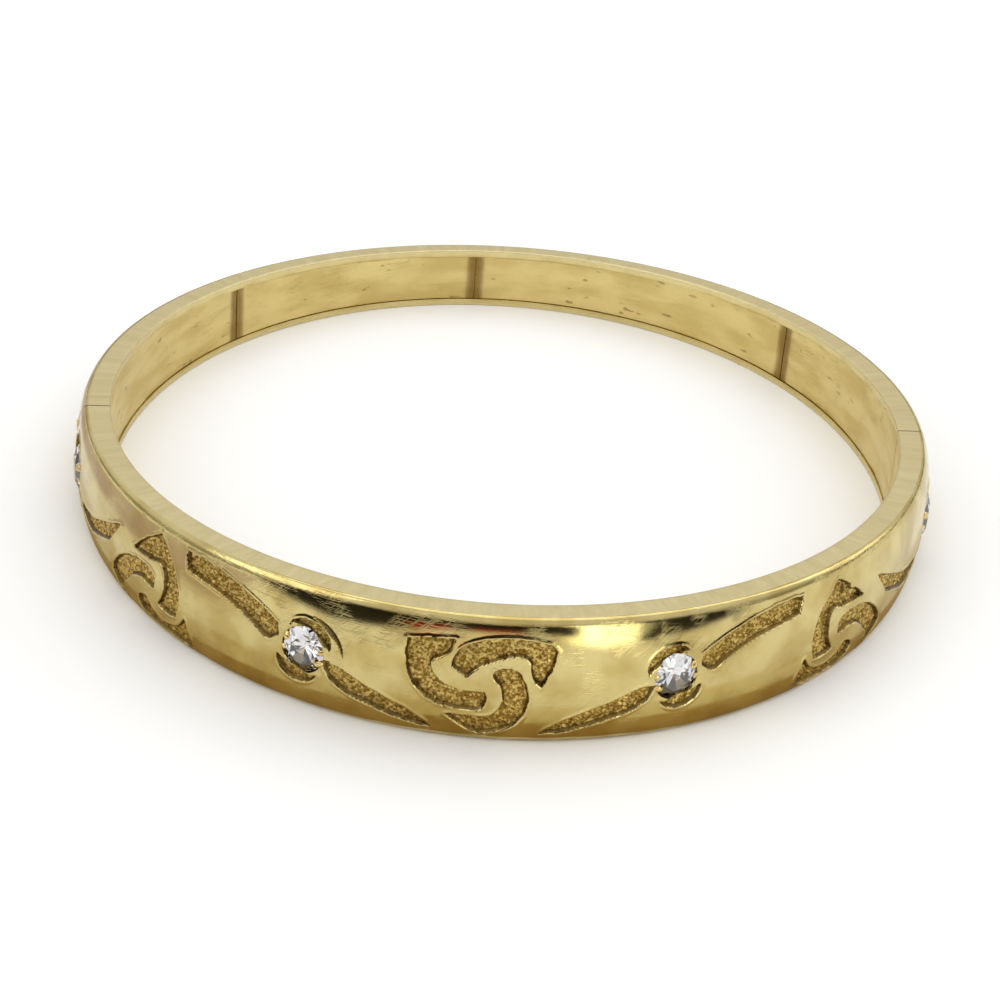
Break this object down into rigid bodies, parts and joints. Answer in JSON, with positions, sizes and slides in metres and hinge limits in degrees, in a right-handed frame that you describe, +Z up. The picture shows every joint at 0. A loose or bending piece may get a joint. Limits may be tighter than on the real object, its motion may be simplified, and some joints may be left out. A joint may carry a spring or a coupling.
{
  "type": "hinged bangle bracelet",
  "caption": "Hollow oval hinged bangle, wide domed front with recessed scrolls and set round stones, narrow plain back, tongue and box clasp.",
  "frame": {"origin": "middle of the oval on the plane of the lower rim, which it rests on", "axes": "+Z up through the wrist opening, +X along the long axis from the hinge to the clasp, +Y from the wide front to the narrow back"},
  "size_m": [0.0658, 0.063, 0.0105],
  "materials": {
    "polished_gold": "mirror polished yellow gold with fine wear scratches, satin flat rims",
    "lining_gold": "dull mottled satin gold, worn against the wrist",
    "hidden_gold": "unpolished gold, as soldered",
    "spring_gold": "work-hardened gold spring strip, brushed",
    "pin_steel": "drawn wire, filed flush",
    "clear_stone": "clear round brilliant"
  },
  "bodies": {
    "front_half": {"front_shell": "polished_gold", "front_lining_1": "lining_gold", "front_lining_2": "lining_gold", "front_lining_3": "lining_gold", "front_lining_4": "lining_gold", "front_rib_1": "hidden_gold", "front_rib_2": "hidden_gold", "front_rib_3": "hidden_gold", "front_hinge_end_plate": "hidden_gold", "front_clasp_end_plate": "hidden_gold", "front_knuckle_lower": "hidden_gold", "front_knuckle_upper": "hidden_gold", "hinge_pin": "pin_steel", "clasp_box": "hidden_gold", "stone_1": "clear_stone", "stone_2": "clear_stone", "stone_3": "clear_stone", "stone_4": "clear_stone"},
    "back_half": {"back_shell": "polished_gold", "back_lining_1": "lining_gold", "back_lining_2": "lining_gold", "back_lining_3": "lining_gold", "back_lining_4": "lining_gold", "back_rib_1": "hidden_gold", "back_rib_2": "hidden_gold", "back_rib_3": "hidden_gold", "back_hinge_end_plate": "hidden_gold", "back_clasp_end_plate": "hidden_gold", "back_knuckle": "hidden_gold", "clasp_tongue": "spring_gold"},
    "spring_leaf": {"clasp_spring_leaf": "spring_gold"},
    "push_piece": {"clasp_push_piece": "spring_gold"}
  },
  "joints": [
    {"name": "bangle_hinge", "type": "hinge", "parent": "front_half", "child": "back_half", "pos_m": [-0.03228, -0.0017, 0], "axis": [0, 0, 1], "range_deg": [0, 50]},
    {"name": "push_travel", "type": "slide", "parent": "back_half", "child": "push_piece", "axis": [0, 0, 1], "range_m": [0, 0.0006], "stiffness_N_per_m": 300},
    {"name": "leaf_flex", "type": "hinge", "parent": "back_half", "child": "spring_leaf", "pos_m": [0.03115, -0.0047, 0.00492], "axis": [0.9986, -0.0523, 0], "range_deg": [0, 7.29]}
  ],
  "couplings": [
    {"joint": "leaf_flex", "follows": "push_travel", "rad_per_m": 210.53}
  ]
}
